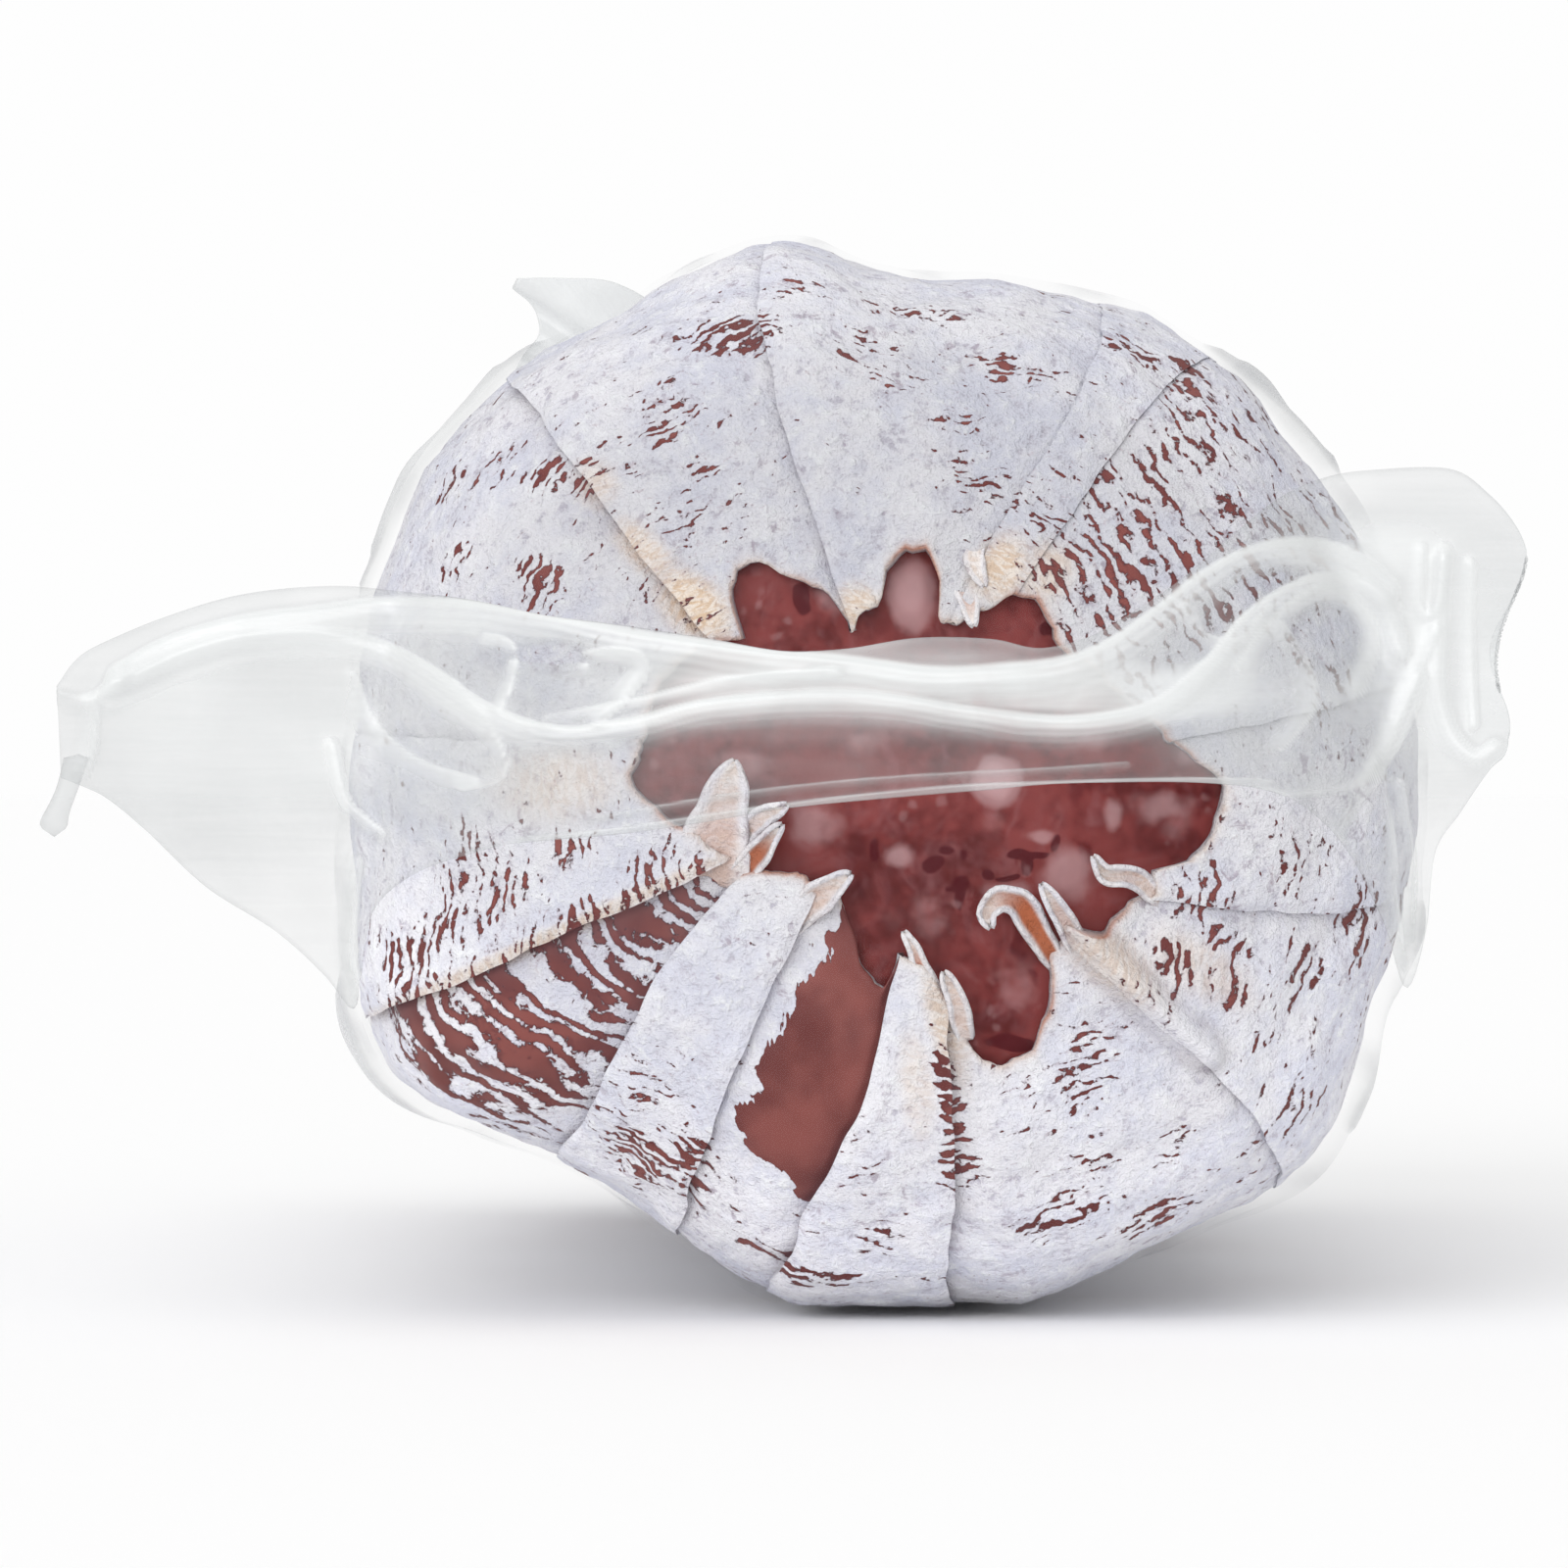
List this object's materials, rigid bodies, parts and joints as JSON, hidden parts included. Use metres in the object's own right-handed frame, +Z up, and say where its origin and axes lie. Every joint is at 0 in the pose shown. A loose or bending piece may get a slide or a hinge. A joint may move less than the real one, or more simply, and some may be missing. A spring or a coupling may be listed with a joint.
{
  "type": "vacuum-packed cured sausage",
  "caption": "Thick mould-ripened dry sausage lying on its side in a clear shrink bag, its casing pleated over a torn end, with a welded film fin and ears across each end.",
  "frame": {"origin": "on the surface that the sausage rests on, under its axis and halfway along it", "axes": "+Z up, +Y along the sausage's axis away from the showing end, +X to the right as that end is seen"},
  "size_m": [0.1494, 0.2422, 0.1183],
  "materials": {
    "meat": "moist dry-cured meat with pale fat grains",
    "casing": "matt white mould, worn through to red-brown casing in wavy stripes",
    "film": "clear shrink film, milky where it lies in several layers"
  },
  "bodies": {
    "root": {"meat": "meat", "casing": "casing", "bag_skin": "film", "front_seal": "film", "rear_seal": "film"}
  },
  "joints": []
}
